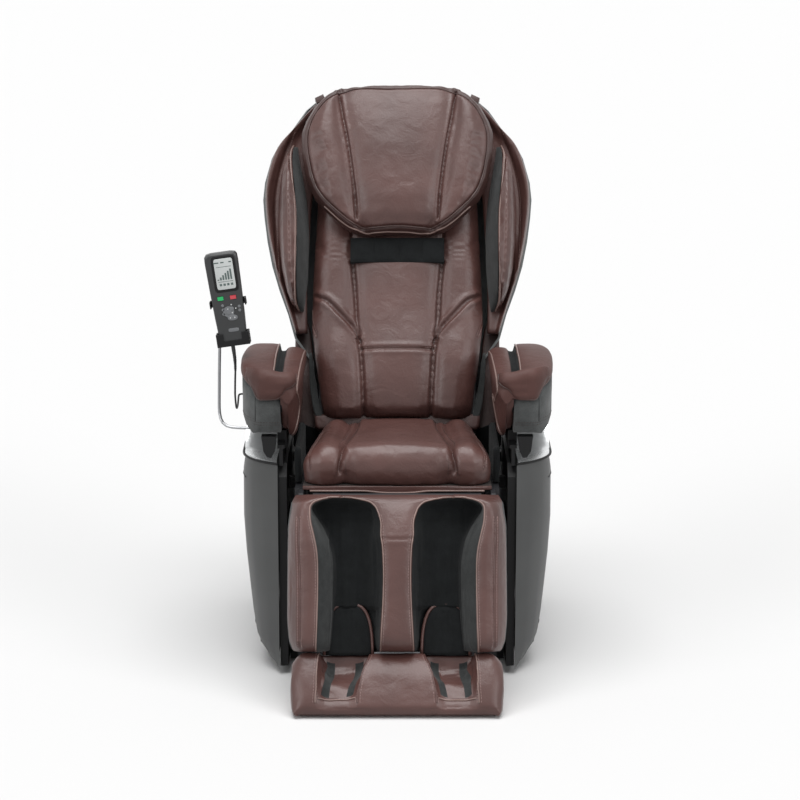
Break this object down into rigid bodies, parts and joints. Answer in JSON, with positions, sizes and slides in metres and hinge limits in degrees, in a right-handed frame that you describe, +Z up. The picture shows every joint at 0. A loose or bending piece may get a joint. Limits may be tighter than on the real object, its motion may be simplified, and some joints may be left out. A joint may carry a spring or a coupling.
{
  "type": "reflexology massage chair",
  "caption": "Reclining brown massage chair with padded calf and foot wells, armrests that follow the back, grey side panels and a wired handset on a stand.",
  "frame": {"origin": "floor plane, middle of the base between the side panels, under the frame's middle foot", "axes": "+X to the right as seen from the front, +Y to the rear, +Z up; the sitter faces -Y; left in names is -X"},
  "size_m": [0.7973, 0.986, 1.3047],
  "materials": {
    "frame_paint": "satin black powder coat",
    "rubber_feet": "matt black rubber",
    "steel": "bright ground steel",
    "seat_board": "raw pressed board",
    "brown_leather": "soft reddish brown synthetic leather with a fine grain",
    "grey_fabric": "grey knitted fabric",
    "black_fabric": "black pleated fabric",
    "grey_shell": "textured dark grey plastic",
    "black_plastic": "fine textured black plastic",
    "bright_trim": "bright plated plastic",
    "switch_red": "red rocker",
    "box_metal": "plain sheet",
    "roller_rubber": "firm moulded rubber",
    "stand_chrome": "satin steel tube",
    "key_green": "green key",
    "key_red": "red key",
    "key_grey": "grey key",
    "cord_black": "black cable jacket"
  },
  "bodies": {
    "base": {"base_frame": "frame_paint", "floor_pads": "rubber_feet", "pivot_shafts": "steel", "seat_pan": "seat_board", "seat_cushion": "brown_leather", "seat_hem": "brown_leather", "side_panel_left": "grey_shell", "side_panel_right": "grey_shell", "side_trims": "bright_trim", "side_casings": "black_plastic", "rear_cover": "black_plastic", "power_inlet": "black_plastic", "control_box": "box_metal", "air_pump": "black_plastic", "recline_actuator": "frame_paint", "leg_actuator": "frame_paint"},
    "rocker": {"power_switch": "switch_red"},
    "wheel_l": {"wheel_left": "rubber_feet"},
    "wheel_r": {"wheel_right": "rubber_feet"},
    "backrest": {"back_frame": "frame_paint", "back_shell": "grey_shell", "wing_cover": "brown_leather", "back_cushion": "brown_leather", "neck_band": "black_fabric", "shoulder_pad_left": "brown_leather", "shoulder_pad_right": "brown_leather", "shoulder_faces": "grey_fabric", "hip_fabrics": "grey_fabric", "screw_motor": "frame_paint"},
    "pillow": {"head_pillow": "brown_leather"},
    "screw": {"lead_screw": "steel"},
    "carriage": {"massage_carriage": "frame_paint"},
    "knead_l": {"knead_arm_left": "steel"},
    "knead_r": {"knead_arm_right": "steel"},
    "roller_ul": {"roller_upper_left": "roller_rubber"},
    "roller_ur": {"roller_upper_right": "roller_rubber"},
    "roller_ll": {"roller_lower_left": "roller_rubber"},
    "roller_lr": {"roller_lower_right": "roller_rubber"},
    "arm_left": {"arm_shell_left": "grey_fabric", "arm_pads_left": "brown_leather", "arm_shoe_left": "black_plastic"},
    "arm_right": {"arm_shell_right": "grey_fabric", "arm_pads_right": "brown_leather", "arm_shoe_right": "black_plastic"},
    "legrest": {"leg_frame": "frame_paint", "calf_cover": "brown_leather"},
    "footrest": {"foot_cover": "brown_leather", "foot_frame": "steel", "foot_liners": "grey_fabric"},
    "foot_roll_l": {"foot_roller_left": "roller_rubber"},
    "foot_roll_r": {"foot_roller_right": "roller_rubber"},
    "recline_push": {"recline_rod": "steel"},
    "leg_push": {"leg_rod": "steel"},
    "stand": {"remote_stand": "stand_chrome", "remote_holder": "black_plastic"},
    "hand_unit": {"handset": "black_plastic", "handset_cord": "cord_black"},
    "button_start": {"key_start": "key_green"},
    "button_stop": {"key_stop": "key_red"},
    "button_pad": {"key_pad": "key_grey"}
  },
  "joints": [
    {"name": "switch_rock", "type": "hinge", "parent": "base", "child": "rocker", "pos_m": [-0.096, 0.302, 0.12], "axis": [1, 0, 0], "range_deg": [-6, 6]},
    {"name": "wheel_turn_left", "type": "hinge", "parent": "base", "child": "wheel_l", "pos_m": [-0.215, 0.344, 0.033], "axis": [1, 0, 0], "continuous": true},
    {"name": "wheel_turn_right", "type": "hinge", "parent": "base", "child": "wheel_r", "pos_m": [0.215, 0.344, 0.033], "axis": [1, 0, 0], "continuous": true},
    {"name": "recline", "type": "hinge", "parent": "base", "child": "backrest", "pos_m": [0, 0.06, 0.432], "axis": [-1, 0, 0], "range_deg": [0, 40]},
    {"name": "pillow_flip", "type": "hinge", "parent": "backrest", "child": "pillow", "pos_m": [0, 0.2892, 1.29248], "axis": [-1, 0, 0], "range_deg": [0, 95]},
    {"name": "screw_turn", "type": "hinge", "parent": "backrest", "child": "screw", "pos_m": [0, 0.15866, 0.72885], "axis": [0, 0.4067, 0.9135], "continuous": true},
    {"name": "carriage_run", "type": "slide", "parent": "backrest", "child": "carriage", "axis": [0, 0.4067, 0.9135], "range_m": [-0.17, 0.22]},
    {"name": "knead_left", "type": "hinge", "parent": "carriage", "child": "knead_l", "pos_m": [-0.064, 0.13674, 0.73861], "axis": [1, 0, 0], "range_deg": [-8, 8]},
    {"name": "knead_right", "type": "hinge", "parent": "carriage", "child": "knead_r", "pos_m": [0.064, 0.13674, 0.73861], "axis": [1, 0, 0], "range_deg": [-8, 8]},
    {"name": "roll_upper_left", "type": "hinge", "parent": "knead_l", "child": "roller_ul", "pos_m": [-0.082, 0.15951, 0.78977], "axis": [1, 0, 0], "continuous": true},
    {"name": "roll_upper_right", "type": "hinge", "parent": "knead_r", "child": "roller_ur", "pos_m": [0.082, 0.15951, 0.78977], "axis": [1, 0, 0], "continuous": true},
    {"name": "roll_lower_left", "type": "hinge", "parent": "knead_l", "child": "roller_ll", "pos_m": [-0.082, 0.11396, 0.68745], "axis": [1, 0, 0], "continuous": true},
    {"name": "roll_lower_right", "type": "hinge", "parent": "knead_r", "child": "roller_lr", "pos_m": [0.082, 0.11396, 0.68745], "axis": [1, 0, 0], "continuous": true},
    {"name": "arm_run_left", "type": "slide", "parent": "base", "child": "arm_left", "axis": [0, 1, 0], "range_m": [0, 0.12]},
    {"name": "arm_run_right", "type": "slide", "parent": "base", "child": "arm_right", "axis": [0, 1, 0], "range_m": [0, 0.12]},
    {"name": "leg_raise", "type": "hinge", "parent": "base", "child": "legrest", "pos_m": [0, -0.372, 0.432], "axis": [-1, 0, 0], "range_deg": [0, 75]},
    {"name": "foot_extend", "type": "slide", "parent": "legrest", "child": "footrest", "axis": [0, -0.2756, -0.9613], "range_m": [0, 0.09]},
    {"name": "foot_roll_left", "type": "hinge", "parent": "footrest", "child": "foot_roll_l", "pos_m": [-0.118, -0.556, 0.048], "axis": [1, 0, 0], "continuous": true},
    {"name": "foot_roll_right", "type": "hinge", "parent": "footrest", "child": "foot_roll_r", "pos_m": [0.118, -0.556, 0.048], "axis": [1, 0, 0], "continuous": true},
    {"name": "recline_stroke", "type": "slide", "parent": "base", "child": "recline_push", "axis": [0, 1, 0], "range_m": [-0.0479, 0]},
    {"name": "leg_stroke", "type": "slide", "parent": "base", "child": "leg_push", "axis": [0, -1, 0], "range_m": [0, 0.067]},
    {"name": "stand_swing", "type": "hinge", "parent": "arm_left", "child": "stand", "pos_m": [-0.3, -0.178, 0.551], "axis": [0, 0, 1], "range_deg": [-30, 30]},
    {"name": "handset_lift", "type": "slide", "parent": "stand", "child": "hand_unit", "axis": [-0.1392, 0, 0.9903], "range_m": [0, 0.05], "deforming": ["handset_cord"]},
    {"name": "press_start", "type": "slide", "parent": "hand_unit", "child": "button_start", "axis": [0, 1, 0], "range_m": [0, 0.0008], "stiffness_N_per_m": 250},
    {"name": "press_stop", "type": "slide", "parent": "hand_unit", "child": "button_stop", "axis": [0, 1, 0], "range_m": [0, 0.0008], "stiffness_N_per_m": 250},
    {"name": "press_pad", "type": "slide", "parent": "hand_unit", "child": "button_pad", "axis": [0, 1, 0], "range_m": [0, 0.0008], "stiffness_N_per_m": 250}
  ],
  "couplings": [
    {"joint": "arm_run_left", "follows": "recline", "m_per_rad": 0.17045},
    {"joint": "arm_run_right", "follows": "recline", "m_per_rad": 0.17045},
    {"joint": "recline_stroke", "follows": "recline", "m_per_rad": -0.068583},
    {"joint": "leg_stroke", "follows": "leg_raise", "m_per_rad": 0.051154}
  ]
}
